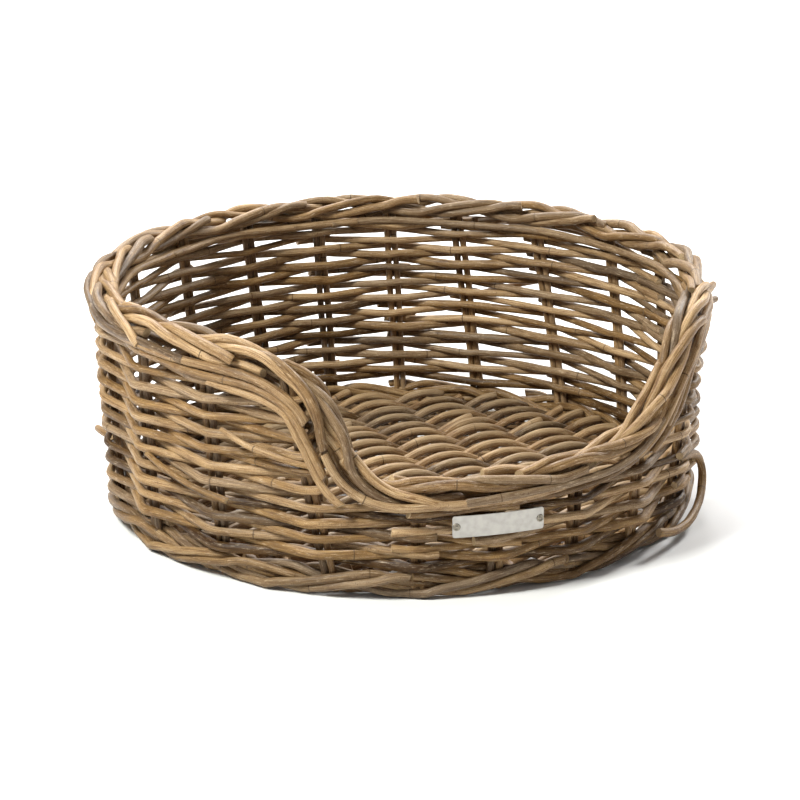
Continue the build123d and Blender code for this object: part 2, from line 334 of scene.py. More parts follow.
# ------------ materials
class Shader:
    """Node material that follows the grain attribute, with short calls for its nodes."""

    def __init__(self, name):
        self.material = bpy.data.materials.new(name)
        self.material.use_nodes = True
        self.tree = self.material.node_tree
        self.tree.nodes.clear()
        self.grain = self.attribute("grain", "Vector")

    def node(self, kind, **settings):
        made = self.tree.nodes.new(kind)
        for key, value in settings.items():
            setattr(made, key, value)
        return made

    def put(self, socket, value):
        """Give a socket a number, a colour or the output of another node."""
        if isinstance(value, (int, float)):
            socket.default_value = value
        elif isinstance(value, tuple):
            socket.default_value = (*value, 1.0)
        else:
            self.tree.links.new(value, socket)

    def attribute(self, name, output):
        return self.node("ShaderNodeAttribute", attribute_name=name).outputs[output]

    def maths(self, operation, a, b, clamp=False):
        made = self.node("ShaderNodeMath", operation=operation, use_clamp=clamp)
        self.put(made.inputs[0], a)
        self.put(made.inputs[1], b)
        return made.outputs[0]

    def mix(self, factor, a, b, blend="MIX"):
        made = self.node("ShaderNodeMix", data_type="RGBA", blend_type=blend)
        for socket, value in zip((0, 6, 7), (factor, a, b)):
            self.put(made.inputs[socket], value)
        return made.outputs[2]

    def tinted(self, factor, colour, tint):
        """Colour that is multiplied by a tint where the factor is 1."""
        return self.mix(factor, colour, self.mix(1.0, colour, tint, "MULTIPLY"))

    def remap(self, value, **limits):
        """Value moved from one range to another, 0 to 1 where no other limits are given."""
        made = self.node("ShaderNodeMapRange")
        self.put(made.inputs["Value"], value)
        for limit, number in limits.items():
            made.inputs[limit.replace("_", " ").title()].default_value = number
        return made.outputs[0]

    def spread(self, value, low, high):
        """0 where a value is at the first limit, 1 where it is at the second."""
        return self.remap(value, from_min=low, from_max=high)

    def noise(self, scale, detail, roughness=0.5):
        """Noise with its own scale along the grain and in the two directions across it."""
        stretch = self.node("ShaderNodeVectorMath", operation="MULTIPLY")
        self.put(stretch.inputs[0], self.grain)
        stretch.inputs[1].default_value = scale
        made = self.node("ShaderNodeTexNoise")
        self.put(made.inputs["Vector"], stretch.outputs[0])
        for socket, value in (("Scale", 1.0), ("Detail", detail), ("Roughness", roughness)):
            made.inputs[socket].default_value = value
        return made.outputs[0]

    def ramp(self, value, *stops):
        """Colour ramp through stops, given as position and colour."""
        made = self.node("ShaderNodeValToRGB")
        elements = made.color_ramp.elements
        for element, (position, colour) in zip(elements, (stops[0], stops[-1])):
            element.position, element.color = position, (*colour, 1)
        for position, colour in stops[1:-1]:
            elements.new(position).color = (*colour, 1)
        self.put(made.inputs[0], value)
        return made.outputs[0]

    def surface(self, colour, roughness, relief, strength, depth, **constants):
        """Finish the material with a surface of a colour, a roughness and a relief."""
        bump = self.node("ShaderNodeBump")
        bump.inputs["Strength"].default_value = strength
        bump.inputs["Distance"].default_value = depth
        self.put(bump.inputs["Height"], relief)
        made = self.node("ShaderNodeBsdfPrincipled")
        self.put(made.inputs["Base Color"], colour)
        self.put(made.inputs["Roughness"], roughness)
        self.put(made.inputs["Normal"], bump.outputs[0])
        for socket, value in constants.items():
            made.inputs[socket.replace("_", " ")].default_value = value
        out = self.node("ShaderNodeOutputMaterial")
        self.put(out.inputs[0], made.outputs[0])
        return self.material


rattan_specular = 0.24
weathered = (0.225, 0.17, 0.115)
shade_of_fibres = (0.42, 0.34, 0.28)
shade_of_stains = (0.55, 0.46, 0.38)
shade_of_ticks = (0.45, 0.38, 0.33)
shade_of_pits = (0.66, 0.6, 0.54)
lift_of_skin = (1.12, 1.12, 1.12)
dust = (0.66, 0.52, 0.36)
knot_colour = (0.07, 0.04, 0.018)
pith_dark, pith_light = (0.26, 0.17, 0.085), (0.52, 0.385, 0.23)


def rattan(name, dark, middle, light, shine=0.42):
    """Rattan skin: colour by rod, fibres along it, knots, ticks, and pale cut ends."""
    shader = Shader(name)
    finish = shader.node("ShaderNodeSeparateXYZ")
    shader.put(finish.inputs[0], shader.attribute("finish", "Vector"))
    tone, tint, cut = finish.outputs

    fibres = shader.noise((38, 6, 6), 3, 0.6)
    scurf = shader.noise((120, 3.5, 3.5), 4, 0.7)
    patches = shader.noise((14, 0.5, 0.5), 2)
    stains = shader.noise((55, 1.1, 1.1), 2)
    ticks = shader.noise((900, 1.4, 1.4), 1)
    speckle = shader.noise((1300, 11, 11), 2, 0.6)

    wander = shader.maths("MULTIPLY", shader.maths("SUBTRACT", patches, 0.5), 1.1)
    level = shader.maths("ADD", tone, wander, clamp=True)
    skin = shader.ramp(level, (0.0, dark), (0.5, middle), (1.0, light))
    skin = shader.mix(shader.spread(tint, 0.45, 1.0), skin, shader.mix(0.75, skin, weathered))
    skin = shader.tinted(shader.spread(fibres, 0.62, 0.36), skin, shade_of_fibres)
    skin = shader.tinted(shader.spread(stains, 0.6, 0.75), skin, shade_of_stains)
    ticked, stained = shader.spread(ticks, 0.66, 0.72), shader.spread(stains, 0.42, 0.6)
    skin = shader.tinted(shader.maths("MULTIPLY", ticked, stained), skin, shade_of_ticks)
    skin = shader.mix(
        shader.spread(speckle, 0.6, 0.34),
        shader.mix(1.0, skin, lift_of_skin, "MULTIPLY"),
        shader.mix(1.0, skin, shade_of_pits, "MULTIPLY"),
    )
    skin = shader.mix(shader.maths("MULTIPLY", shader.spread(scurf, 0.56, 0.74), 0.55), skin, dust)
    skin = shader.mix(shader.spread(shader.attribute("knot", "Fac"), 0.5, 0.95), skin, knot_colour)
    pith = shader.mix(shader.spread(fibres, 0.3, 0.7), pith_dark, pith_light)

    relief = shader.maths("ADD", fibres, shader.maths("MULTIPLY", stains, 0.5))
    relief = shader.maths("ADD", relief, shader.maths("MULTIPLY", speckle, 0.35))
    roughness = shader.remap(fibres, to_min=shine - 0.1, to_max=shine + 0.22)
    # Pale colour of a cut end, also used for the painted highlight on the crests of the floor rods
    colour = shader.mix(cut, skin, pith)
    return shader.surface(
        colour, roughness, relief, strength=0.55, depth=0.0006, Specular_IOR_Level=rattan_specular
    )


def metal(name, colour, roughness, brush):
    """Metal with fine brushing along the plate and a little tarnish."""
    shader = Shader(name)
    brushing = shader.noise(brush, 4)
    tarnish = shader.noise((140, 140, 140), 5)
    tarnished = tuple(0.82 * value for value in colour)
    mottled = shader.ramp(tarnish, (0.3, tarnished), (0.62, colour))
    gloss = shader.remap(brushing, to_min=roughness - 0.1, to_max=roughness + 0.14)
    return shader.surface(mottled, gloss, brushing, strength=0.25, depth=0.0002, Metallic=1.0)


tan_dark = (0.058, 0.026, 0.004)
wall_rattan = rattan("wall_rattan", tan_dark, (0.3, 0.183, 0.071), (0.525, 0.372, 0.208))
stake_rattan = rattan("stake_rattan", (0.06, 0.03, 0.01), (0.23, 0.138, 0.06), (0.46, 0.3, 0.145))
rim_rattan = rattan("rim_rattan", tan_dark, (0.3, 0.188, 0.084), (0.51, 0.355, 0.19), shine=0.4)
foot_rattan = rattan("foot_rattan", tan_dark, (0.245, 0.15, 0.061), (0.45, 0.31, 0.16))
floor_rattan = rattan("floor_rattan", tan_dark, (0.32, 0.2, 0.098), (0.54, 0.38, 0.21), shine=0.36)
plate_metal = metal("plate_metal", (0.42, 0.4, 0.37), 0.44, (60, 1, 2600))
nail_metal = metal("nail_metal", (0.27, 0.245, 0.2), 0.38, (400, 400, 400))


# ------------ rim line
rim_turn = 2 * math.pi * unrolled_radius
back_knot_step = 12.0


def rim_route():
    """Closed line of the rim on the unrolled wall: places round it and heights, in metres."""
    knots = [np.array(p) for p in rim_line]
    back_start, back_end = rim_line[-1][0] + back_knot_step, rim_line[0][0] + 360.0 - back_knot_step / 2
    knots += [np.array((angle, rim_high)) for angle in np.arange(back_start, back_end, back_knot_step)]
    flat = np.array([(angle * metres_per_degree, z) for angle, z in knots])
    whole_turn = np.array((rim_turn, 0.0))
    padded = np.concatenate((flat[-2:] - whole_turn, flat, flat[:3] + whole_turn))
    line = []
    for p0, p1, p2, p3 in zip(padded[:-3], padded[1:-2], padded[2:-1], padded[3:]):
        t = [0.0]
        for a, b in ((p0, p1), (p1, p2), (p2, p3)):
            t.append(t[-1] + np.linalg.norm(b - a) ** 0.5)
        for u in np.linspace(t[1], t[2], 12, endpoint=False):
            a1 = (p0 * (t[1] - u) + p1 * (u - t[0])) / (t[1] - t[0])
            a2 = (p1 * (t[2] - u) + p2 * (u - t[1])) / (t[2] - t[1])
            a3 = (p2 * (t[3] - u) + p3 * (u - t[2])) / (t[3] - t[2])
            b1 = (a1 * (t[2] - u) + a2 * (u - t[0])) / (t[2] - t[0])
            b2 = (a2 * (t[3] - u) + a3 * (u - t[1])) / (t[3] - t[1])
            line.append((b1 * (t[2] - u) + b2 * (u - t[1])) / (t[2] - t[1]))
    line = np.array(line)
    start = np.argmin(np.abs(line[:, 0] - flat[0, 0]))
    end = np.argmin(np.abs(line[:, 0] - flat[0, 0] - whole_turn[0]))
    return np.concatenate((line[start:end], line[start:start + 1] + whole_turn))


rim_closed = rim_route()
rim_along = np.concatenate(([0.0], np.cumsum(np.linalg.norm(np.diff(rim_closed, axis=0), axis=1))))
rim_length = rim_along[-1]
tangent_reach = 0.004


def rim_point(distance):
    """Flat places on the rim line at distances along it, within one turn."""
    return [np.interp(distance, rim_along, rim_closed[:, axis]) for axis in (0, 1)]


def rim_places(distance):
    """Flat places on the rim line at distances along it, and its direction there."""
    rest = distance - np.floor(distance / rim_length) * rim_length
    x, z = rim_point(rest)
    ahead_x, ahead_z = rim_point((rest + tangent_reach) % rim_length)
    behind_x, behind_z = rim_point((rest - tangent_reach) % rim_length)
    dx = ahead_x - behind_x
    dx = np.where(dx < -rim_turn / 2, dx + rim_turn, dx)
    return x, z, unit(np.stack((dx, ahead_z - behind_z), axis=-1))


def unrolled(angle):
    """Place of an angle along the unrolled wall, within the turn that the rim line covers."""
    first = rim_line[0][0]
    return ((angle - first) % 360.0 + first) * metres_per_degree


def rim_height(angle):
    """Height of the rim line at an angle."""
    return float(np.interp(unrolled(angle), rim_closed[:, 0], rim_closed[:, 1]))


def below_rim(angle, z):
    """Whether a weaver at a place on the wall passes below the rim, clear of it."""
    gap = np.min(np.hypot(rim_closed[:, 0] - unrolled(angle), rim_closed[:, 1] - z))
    return z < rim_height(angle) and gap > rim_clear_distance


# ------------ stakes
stake_bottom = 0.004
stake_lowest_top = 0.03
stake_tuck = 0.001
stake_sway = 0.0009
stake_wave = 0.0006
height_step = 0.0005
end_slice = 0.003


def stake_ends(index):
    """Angle and height of the bottom and of the top of a stake pair in the CAD."""
    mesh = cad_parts[f"stake_pair_{index + 1:02d}"].data
    points = np.array([vertex.co for vertex in mesh.vertices])
    ends = []
    for level in (points[:, 2].min(), points[:, 2].max()):
        x, y, z = points[np.abs(points[:, 2] - level) < end_slice].mean(axis=0)
        ends.append((math.degrees(math.atan2(x, -y)) % 360.0, z))
    return ends


stake_lines = [stake_ends(index) for index in range(stake_pair_count)]
stake_lines[0] = [(angle - 360.0, z) for angle, z in stake_lines[0]]


def stake_angle(index, z):
    """Angle of a stake pair at a height."""
    turn, index = divmod(index, stake_pair_count)
    (low_angle, low), (high_angle, high) = stake_lines[index]
    return low_angle + (high_angle - low_angle) * (z - low) / (high - low) + 360.0 * turn


def stake_top(index):
    """Height at which a stake pair ends, just under the rim line."""
    high = stake_lowest_top
    while high < rim_height(stake_angle(index, high)) - stake_tuck:
        high += height_step
    return high


def stake_line(index, side, high):
    """Line of one stake of a pair, with a slight sway of its own."""
    line = []
    sway = luck.uniform(-stake_sway, stake_sway, 2)
    for share in np.linspace(0, 1, 12):
        z = stake_bottom + (high - stake_bottom) * share
        angle = stake_angle(index, z)
        wave = stake_wave * math.sin(9 * share + index)
        shift = side * (stake_side_offset + wave) + sway[0] * share
        radius = wall_radius(z) + sway[1] * math.sin(3 * share)
        line.append(place(radius, angle, z) + around(angle) * shift)
    return line


for index in range(stake_pair_count):
    bundle = Bundle()
    high = stake_top(index)
    for side in (-1, 1):
        line = stake_line(index, side, high)
        diameter = stake_diameter * luck.uniform(0.95, 1.12)
        rod(bundle, line, diameter, "radial", luck.uniform(0.15, 0.9))
    bundle.make(f"stakes_{index + 1:02d}", stake_rattan, "stake", [f"stake_pair_{index + 1:02d}"])


# ------------ wall weavers
row_heights = [middle_of(f"weaver_row_{row + 1:02d}").z for row in range(row_count)]
row_pitch = row_heights[1] - row_heights[0]
# Waves of the rows: height, number round the basket, and shift with the height of the row
sags = ((0.0013, 3, 30), (0.0012, 7, -45), (0.0009, 12, 70))
sag_waves = luck.uniform(0, 2 * math.pi, 6)
end_lift = 0.003
tail_dip = 0.0028
pass_half = 0.0056
outside_play, inside_play = (0.0, 0.0026), (-0.0003, 0.0012)
press_gap = 0.0001
corner_cut = 0.0065
tuck_length = 0.012
inside_end_angles = (225.0, 305.0)
# Turn of a weaver into the next row: shares of the row pitch, of its depth and of its reach
hook_shape = ((0.12, 0.85, 0.9), (0.5, 0.0, 1.0), (0.88, -0.85, 0.9))


def sag(angle, z):
    """Slow unevenness in the height of the rows."""
    a = math.radians(angle)
    return sum(
        rise * math.sin(turns * a + wave + z * shift)
        for (rise, turns, shift), wave in zip(sags, sag_waves)
    )


def row_side(index, row):
    """1 where a row passes outside a stake pair, -1 where it passes inside."""
    return 1 if (index + row) % 2 == 1 else -1


def row_reach(row):
    """First and last stake pairs of a row."""
    if row < full_row_count:
        return 0, stake_pair_count
    z = row_heights[row]

    def fits(index):
        return below_rim(stake_angle(index, z), z)

    first = next(filter(fits, range(right_edge_stake - 1, right_edge_stake + 2)))
    last = next(filter(fits, range(left_edge_stake + 1, left_edge_stake - 2, -1)))
    return first, last


def passing(index, row, depth, lift):
    """Two corners of a weaver over one stake pair."""
    z = row_heights[row]
    angle = stake_angle(index, z)
    z += sag(angle, z) + lift
    side = row_side(index, row)
    depth = depth + luck.uniform(*(outside_play if side > 0 else inside_play))
    centre = place(wall_radius(z) + side * depth, angle, z)
    ahead = around(angle) * pass_half * luck.uniform(0.85, 1.2)
    tip = np.array((0, 0, luck.uniform(-0.001, 0.001)))
    return [centre - ahead - tip, centre + ahead + tip]


def hook(index, row, way, depth):
    """Corners of a weaver that turns round the last stake pair into the next row."""
    z = row_heights[row]
    angle = stake_angle(index, z + row_pitch / 2)
    ahead = around(angle) * way
    turn = luck.uniform(0.0125, 0.0155)
    corners = []
    for share, out, past in hook_shape:
        height = z + row_pitch * share + sag(angle, z)
        corners.append(place(wall_radius(height) + out * depth, angle, height) + ahead * (turn * past))
    return corners


def loose_end(index, row, way, depth, lift):
    """Corner where a weaver stops, a little past a stake pair."""
    z = row_heights[row]
    angle = stake_angle(index, z)
    z += sag(angle, z) + lift
    radius = wall_radius(z) + row_side(index, row) * (depth + luck.uniform(-0.0005, 0.003))
    past = luck.uniform(0.01, 0.026)
    return place(radius, angle, z + luck.uniform(-0.001, 0.001)) + around(angle) * way * past


def is_good_end(index, row):
    """Whether rods of a row may end at a stake pair: inside at the left, outside elsewhere."""
    angle = stake_angle(index, row_heights[row]) % 360.0
    ends_inside = inside_end_angles[0] < angle < inside_end_angles[1]
    return row_side(index, row) == (-1 if ends_inside else 1)


def weaver(bundle, row, start, end, join_start, join_end):
    """One rod of a row between two stake pairs. A join is 'end', 'hook' or 'tuck'."""
    diameter = weaver_diameter * luck.uniform(0.92, 1.37)
    depth = (stake_diameter + diameter) / 2 + press_gap
    drift = luck.uniform(-0.001, 0.001)
    corners = []
    for index in range(start, end + 1):
        lift = drift
        if index == start and join_start == "end":
            lift = end_lift
        if index == end and join_end == "end":
            lift = -end_lift
        corners += passing(index, row, depth, lift)
    if join_start == "end":
        corners = [loose_end(start, row, -1, depth, end_lift)] + corners
    if join_end == "end":
        corners = corners + [loose_end(end, row, 1, depth, -end_lift)]
    if join_start in ("hook", "tuck"):
        corners = hook_tail(start, row, -1, depth, join_start)[::-1] + corners
    if join_end in ("hook", "tuck"):
        corners = corners + hook_tail(end, row, 1, depth, join_end)
    tone = random_tone(0.52, 0.26, lowest=0.02)
    rod(bundle, rounded(corners, corner_cut), diameter, "up", tone, taper=luck.uniform(0.02, 0.16))


def hook_tail(index, row, way, depth, join):
    """Corners beyond the last stake pair of a row, to where the rod is tucked away inside."""
    corners = hook(index, row, way, depth)
    if join == "tuck":
        z = row_heights[row] + row_pitch * 0.9
        angle = stake_angle(index, z)
        corners.append(place(wall_radius(z) - depth, angle, z) - around(angle) * way * tuck_length)
        return corners
    for step in range(3):
        pair = passing(index - way * step, row + 1, depth, 0.0 if step < 2 else -tail_dip)
        corners += pair if way < 0 else pair[::-1]
    corners.append(loose_end(index - way * 2, row + 1, -way, depth, -tail_dip))
    return corners


def split_row(first, last, row):
    """Stake pairs where one rod of a row ends and the next begins."""
    good = [i for i in range(first + 3, last - 2) if is_good_end(i, row)]
    cuts = []
    position = first + int(luck.integers(4, 8))
    while position < last - 3 and good:
        near = min(good, key=lambda i: abs(i - position))
        if not cuts or near > cuts[-1] + 3:
            cuts.append(near)
        position += int(luck.integers(5, 10))
    return [first] + cuts + [last]


# Loose rods that stick out of the weave: row they belong to, places as angle, height and
# distance out from the middle of the wall, and thickness
loose_rods = (
    (
        3,
        (
            (44, 0.078, 0.007), (51, 0.07, 0.011), (56, 0.056, 0.015), (56.5, 0.038, 0.02),
            (51, 0.021, 0.0225), (43.5, 0.013, 0.0225), (36.5, 0.015, 0.0215), (31, 0.023, 0.02),
        ),
        0.0086,
    ),
    (21, ((59, 0.212, 0.004), (63, 0.209, 0.011), (66.5, 0.206, 0.02)), 0.0072),
    (22, ((57, 0.226, 0.008), (62, 0.224, 0.013), (66, 0.222, 0.017)), 0.0078),
    (6, ((254, 0.074, 0.002), (250, 0.072, 0.011), (246.5, 0.069, 0.0165)), 0.0078),
    (13, ((303, 0.152, 0.0045), (309, 0.144, 0.011), (316, 0.136, 0.012), (322, 0.13, 0.01)), 0.006),
    (9, ((284, 0.106, 0.011), (290, 0.099, 0.013), (297, 0.09, 0.012), (304, 0.083, 0.009)), 0.0062),
    (14, ((118, 0.16, 0.011), (126, 0.15, 0.013), (135, 0.136, 0.0125), (142, 0.124, 0.011)), 0.006),
    (7, ((200, 0.102, 0.011), (208, 0.092, 0.013), (216, 0.078, 0.0125), (224, 0.066, 0.011)), 0.0062),
)


def eased(knots):
    """Smooth line through a few places."""
    padded = [2 * knots[0] - knots[1], *knots, 2 * knots[-1] - knots[-2]]
    line = []
    for p0, p1, p2, p3 in zip(padded[:-3], padded[1:-2], padded[2:-1], padded[3:]):
        for t in np.linspace(0, 1, 8, endpoint=False):
            line.append(
                0.5 * (2 * p1 + (p2 - p0) * t + (2 * p0 - 5 * p1 + 4 * p2 - p3) * t**2)
                + 0.5 * (3 * p1 - p0 - 3 * p2 + p3) * t**3
            )
    return line + [knots[-1]]


reaches = [row_reach(row) for row in range(row_count)]


def row_ends(row):
    """First and last stake pairs of a row's rods, and the joins there."""
    first, last = reaches[row]
    if row < full_row_count:
        first = next(i for i in range(int(luck.integers(0, 14)), 40) if is_good_end(i, row))
        return first, first + stake_pair_count, "end", "end"
    above = reaches[row + 1] if row + 1 < row_count else (None, None)
    below = reaches[row - 1] if row > full_row_count else (None, None)
    first_join = last_join = "end"
    if row_side(last, row) > 0:
        last_join = "hook" if above[1] == last else "tuck"
    elif below[1] == last:
        last -= 2
    if row_side(first, row) > 0:
        first_join = "hook" if above[0] == first else "tuck"
    elif below[0] == first:
        first += 2
    return first, last, first_join, last_join


wall_points = []
for row in range(row_count):
    bundle = Bundle()
    first, last, first_join, last_join = row_ends(row)
    stations = split_row(first, last, row)
    joins = [first_join, *["end"] * (len(stations) - 2), last_join]
    for number, (start, end) in enumerate(zip(stations[:-1], stations[1:])):
        weaver(bundle, row, start, end, joins[number], joins[number + 1])
    for loose_row, places, thickness in loose_rods:
        if loose_row == row + 1:
            line = [place(wall_radius(z) + out, angle, z) for angle, z, out in places]
            rod(bundle, eased(line), thickness, "radial", luck.uniform(0.3, 0.8), slants=(0.4, 0.5))
    number = f"{row + 1:02d}"
    bundle.make(f"woven_row_{number}", wall_rattan, "wall_weaver", [f"weaver_row_{number}"])
    wall_points += bundle.points


# ------------ name plate and its rivets
plate_middle = middle_of("name_plate").z
plate_thickness = 0.0009
plate_corner = 0.0026
plate_bevel = 0.00022


def metal_piece(name, points, faces, grain, material, node):
    """Metal piece that stands for a CAD node."""
    mesh = bpy.data.meshes.new(name)
    mesh.from_pydata([tuple(p) for p in points], [], faces)
    set_attribute(mesh, "grain", grain)
    mesh.validate()
    add_piece(name, mesh, material, [node])
    return mesh


def under_plate(points):
    """How far out the wall reaches under the plate."""
    reach = np.hypot(points[:, 0], points[:, 1])
    turn = np.degrees(np.arctan2(points[:, 0], -points[:, 1])) - plate_angle
    covered = np.abs(np.radians(turn)) * reach < plate_size[0] / 2 + 0.002
    covered &= np.abs(points[:, 2] - plate_middle) < plate_size[1] / 2 + 0.001
    return reach[covered].max() if covered.any() else 0.0


plate_seat = max(under_plate(points) for points in wall_points) + press_gap


def plate_columns(inset):
    """Places along the plate and its half height there, its outline drawn in by an inset."""
    half_long, half_high = plate_size[0] / 2 - inset, plate_size[1] / 2 - inset
    corner = plate_corner - inset
    turns = np.linspace(0, math.pi / 2, 7)
    ends = half_long - corner + corner * np.sin(turns)
    heights = half_high - corner + corner * np.cos(turns)
    middle = np.linspace(-(half_long - corner), half_long - corner, 41)[1:-1]
    along = np.concatenate((-ends[::-1], middle, ends))
    high = np.concatenate((heights[::-1], np.full(len(middle), half_high), heights))
    return along, high


points, grain, faces, loops = [], [], [], []
plate_loops = ((0.0, 0.0), (0.0, plate_thickness - plate_bevel), (plate_bevel, plate_thickness))
for inset, out in plate_loops:
    along, high = plate_columns(inset)
    loop = [*zip(along, high), *zip(along[::-1], -high[::-1])]
    loops.append(range(len(points), len(points) + len(loop)))
    radius = plate_seat + out
    for u, v in loop:
        points.append(place(radius, plate_angle + math.degrees(u / radius), plate_middle + v))
        grain.append((u, out, v))
for lower, upper in zip(loops[:-1], loops[1:]):
    for i in range(len(lower)):
        j = (i + 1) % len(lower)
        faces.append((lower[j], lower[i], upper[i], upper[j]))
for loop, order in ((loops[0], 1), (loops[-1], -1)):
    for i in range(len(loop) // 2 - 1):
        face = (loop[i], loop[i + 1], loop[-i - 2], loop[-i - 1])
        faces.append(face[::order])
metal_piece("plate", points, faces, grain, plate_metal, "name_plate")

# Outline of a nail's head, which has a hollow in its middle: radius and distance out
head_profile = (
    (0.00365, -0.0002), (0.0037, 0.00035), (0.0035, 0.0008), (0.0031, 0.00105), (0.00265, 0.001),
    (0.00225, 0.0007), (0.002, 0.0004), (0.00165, 0.00035), (0.0014, 0.00055), (0.00095, 0.0008),
    (0.00045, 0.0009),
)
head_sides = 24
head_sink = 0.00005
points, grain, faces = [], [], []
for way in (-1, 1):
    angle = plate_angle + way * math.degrees(nail_side_offset / plate_seat)
    out_way, side_way = place(1.0, angle, 0.0), around(angle)
    centre = place(plate_seat + plate_thickness - head_sink, angle, plate_middle)
    first = len(points)
    for wide, out in head_profile:
        for t in np.linspace(0, 2 * math.pi, head_sides, endpoint=False):
            offset = side_way * wide * math.cos(t) + np.array((0, 0, wide * math.sin(t)))
            points.append(centre + offset + out_way * out)
            grain.append(offset)
    last = first + (len(head_profile) - 1) * head_sides
    for start in range(first, last, head_sides):
        for i in range(head_sides):
            j = (i + 1) % head_sides
            faces.append((start + i, start + j, start + j + head_sides, start + i + head_sides))
    faces.append(tuple(range(last, last + head_sides)))
    faces.append(tuple(range(first + head_sides - 1, first - 1, -1)))
heads = metal_piece("rivets", points, faces, grain, nail_metal, "plate_nails")
heads.shade_smooth()


# ------------ rim braid
rim_rod_diameter = 0.0092
rim_stroke_count = 16
rim_half_width = 0.0082
rim_half_height = 0.005
rim_pair_offset = 0.0044
rim_turn_step = 0.11
side_rod_steps = 60
rim_period = rim_length * 3 / rim_stroke_count


def braid_section(turn, half_width, half_height, pair_offset):
    """Cross-section place of one rod of a three-strand braid: across and up."""
    across = half_width * np.sin(turn)
    up = half_height * np.sin(2 * turn)
    go = unit(np.stack((half_width * np.cos(turn), 2 * half_height * np.cos(2 * turn)), axis=-1))
    return across + go[:, 0] * pair_offset, up + go[:, 1] * pair_offset


def beside_rim(distance, up, out):
    """Line that follows the rim line, so far above it and out from the wall's middle."""
    x, z, tangent = rim_places(distance)
    angles = (x - tangent[:, 1] * up) / metres_per_degree
    heights = z + tangent[:, 0] * up
    return np.array([place(wall_radius(h) + o, a, h) for h, o, a in zip(heights, out, angles)])


def rim_rod_line(stroke, pair, start, end):
    """Line of a rim rod between two turns of its strand, given in radians."""
    turns = np.linspace(start, end, int((end - start) / rim_turn_step))
    base = (stroke + luck.uniform(-0.1, 0.1)) * rim_period / 3
    distance = base + turns * rim_period / (2 * math.pi)
    width = rim_half_width * luck.uniform(0.9, 1.12)
    height = rim_half_height * luck.uniform(0.88, 1.15)
    across, up = braid_section(turns, width, height, pair * rim_pair_offset)
    return beside_rim(distance, up, across)


rim_bundles = [Bundle() for strand in range(3)]
for stroke in range(rim_stroke_count):
    for pair in (-1, 1):
        start = math.pi * luck.uniform(0.92, 1.18)
        end = math.pi * luck.uniform(2.66, 2.98)
        line = rim_rod_line(stroke, pair, start, end)
        share = np.linspace(0, 1, len(line))
        line[:, 2] -= share**9 * luck.choice((0.0, 0.004, 0.011), p=(0.4, 0.3, 0.3))
        line[:, 2] += share[::-1] ** 8 * luck.uniform(0.0, 0.0035)
        line += unit(line * (1, 1, 0)) * (share**10 * luck.uniform(0.001, 0.006))[:, None]
        tone = random_tone(0.56, 0.2)
        diameter = rim_rod_diameter * luck.uniform(0.88, 1.12)
        slants = luck.uniform(0.1, 0.7, 2)
        rod(rim_bundles[stroke % 3], line, diameter, "radial", tone, slants=slants)

# Rods beside the braid: angle, level above the rim line and distance out from the middle of
# the wall at both ends, and thickness
rim_side_rods = (
    ((-118, -0.002, 0.015), (-64, -0.0175, 0.0125), 0.008),
    ((-95, -0.0165, 0.0115), (-37, -0.016, 0.0125), 0.0084),
    ((-76, -0.0245, 0.0125), (-32.5, -0.0235, 0.0125), 0.0078),
    ((-58, -0.031, 0.0125), (-30, -0.03, 0.012), 0.0072),
    ((-34, -0.013, 0.013), (6, -0.0125, 0.0135), 0.0082),
    ((-12, -0.01, 0.0145), (30, -0.015, 0.013), 0.008),
    ((22, -0.018, 0.013), (58, -0.015, 0.0125), 0.0082),
    ((30, -0.025, 0.0125), (66, -0.018, 0.0125), 0.0076),
    ((50, -0.016, 0.012), (104, -0.015, 0.013), 0.008),
    ((96, -0.015, 0.013), (150, -0.016, 0.0125), 0.0078),
    ((142, -0.0155, 0.0125), (196, -0.015, 0.013), 0.0082),
    ((188, -0.015, 0.013), (246, -0.0165, 0.0125), 0.0078),
    ((38, -0.015, -0.0125), (86, -0.0165, -0.0115), 0.0078),
    ((80, -0.0155, -0.012), (132, -0.016, -0.0125), 0.008),
    ((124, -0.0165, -0.0125), (172, -0.015, -0.012), 0.0078),
    ((166, -0.015, -0.0125), (214, -0.0165, -0.0115), 0.0082),
    ((208, -0.016, -0.012), (252, -0.0155, -0.0125), 0.0078),
    ((246, -0.0165, -0.0115), (298, -0.015, -0.0125), 0.008),
    ((21, -0.015, -0.011), (60, -0.016, -0.0125), 0.0084),
    ((25, -0.023, -0.011), (64, -0.0245, -0.012), 0.008),
    ((29, -0.031, -0.0105), (56, -0.032, -0.012), 0.0078),
    ((26, -0.032, 0.0115), (60, -0.0255, 0.0125), 0.0082),
    ((-60, -0.016, -0.012), (-27, -0.015, -0.011), 0.0084),
    ((-22, -0.0175, 0.012), (24, -0.0185, 0.0125), 0.0078),
    ((-31, -0.014, -0.0115), (27, -0.0145, -0.0115), 0.0082),
    ((-66, -0.0245, -0.012), (-29, -0.0235, -0.011), 0.008),
)


def along_rim(angle):
    """Distance along the rim line to an angle."""
    x = angle * metres_per_degree
    laps = math.floor((x - rim_closed[0, 0]) / rim_turn)
    return laps * rim_length + np.interp(x - laps * rim_turn, rim_closed[:, 0], rim_along)


